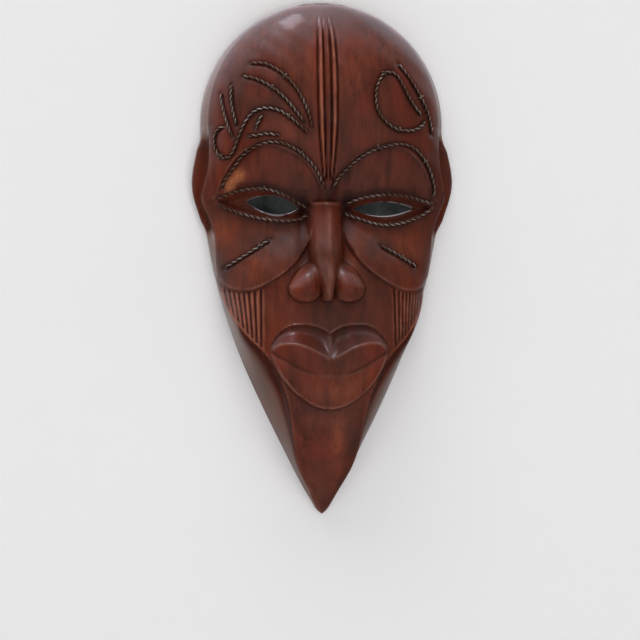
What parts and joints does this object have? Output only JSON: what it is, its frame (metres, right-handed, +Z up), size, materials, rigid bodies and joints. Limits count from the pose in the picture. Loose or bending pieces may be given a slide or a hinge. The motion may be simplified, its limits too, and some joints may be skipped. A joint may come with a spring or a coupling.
{
  "type": "carved wall mask",
  "caption": "Carved hardwood wall mask with a long pointed beard, slit eyes and inlaid twisted-wire lines, hollow behind, hung by a swinging ring.",
  "frame": {"origin": "the point on the wall where the nail holds the hanging ring, in the plane of the mask's flat back", "axes": "+Z up towards the crown, +Y out of the back into the wall, the face looking along -Y"},
  "size_m": [0.15, 0.0585, 0.295],
  "materials": {
    "stained_wood": "satin wax over red-brown stain",
    "twisted_wire": "darkened twisted wire",
    "wire_staple": "bent pin, rubbed",
    "hanger_steel": "zinc plated"
  },
  "bodies": {
    "mask": {"mask_body": "stained_wood", "brow_wire_left": "twisted_wire", "brow_wire_right": "twisted_wire", "eye_wire_upper_left": "twisted_wire", "eye_wire_lower_left": "twisted_wire", "eye_wire_upper_right": "twisted_wire", "eye_wire_lower_right": "twisted_wire", "cheek_wire_left": "twisted_wire", "cheek_wire_right": "twisted_wire", "scroll_wire": "twisted_wire", "ray_wire_outer": "twisted_wire", "ray_wire_inner": "twisted_wire", "stem_wire": "twisted_wire", "bar_wire": "twisted_wire", "leaf_wire_lower": "twisted_wire", "leaf_wire_upper": "twisted_wire", "loop_wire": "twisted_wire", "tail_wire": "twisted_wire", "wire_staple_01": "wire_staple", "wire_staple_02": "wire_staple", "wire_staple_03": "wire_staple", "wire_staple_04": "wire_staple", "wire_staple_05": "wire_staple", "wire_staple_06": "wire_staple", "wire_staple_07": "wire_staple", "wire_staple_08": "wire_staple", "wire_staple_09": "wire_staple", "wire_staple_10": "wire_staple", "wire_staple_11": "wire_staple", "wire_staple_12": "wire_staple", "wire_staple_13": "wire_staple", "wire_staple_14": "wire_staple", "wire_staple_15": "wire_staple", "wire_staple_16": "wire_staple", "wire_staple_17": "wire_staple", "hanger_strap": "hanger_steel", "hanger_screw": "hanger_steel"},
    "ring": {"hanger_ring": "hanger_steel"}
  },
  "joints": [
    {"name": "ring_swing", "type": "hinge", "parent": "mask", "child": "ring", "pos_m": [0, -0.0048, -0.0105], "axis": [1, 0, 0], "range_deg": [-160, 0]}
  ]
}
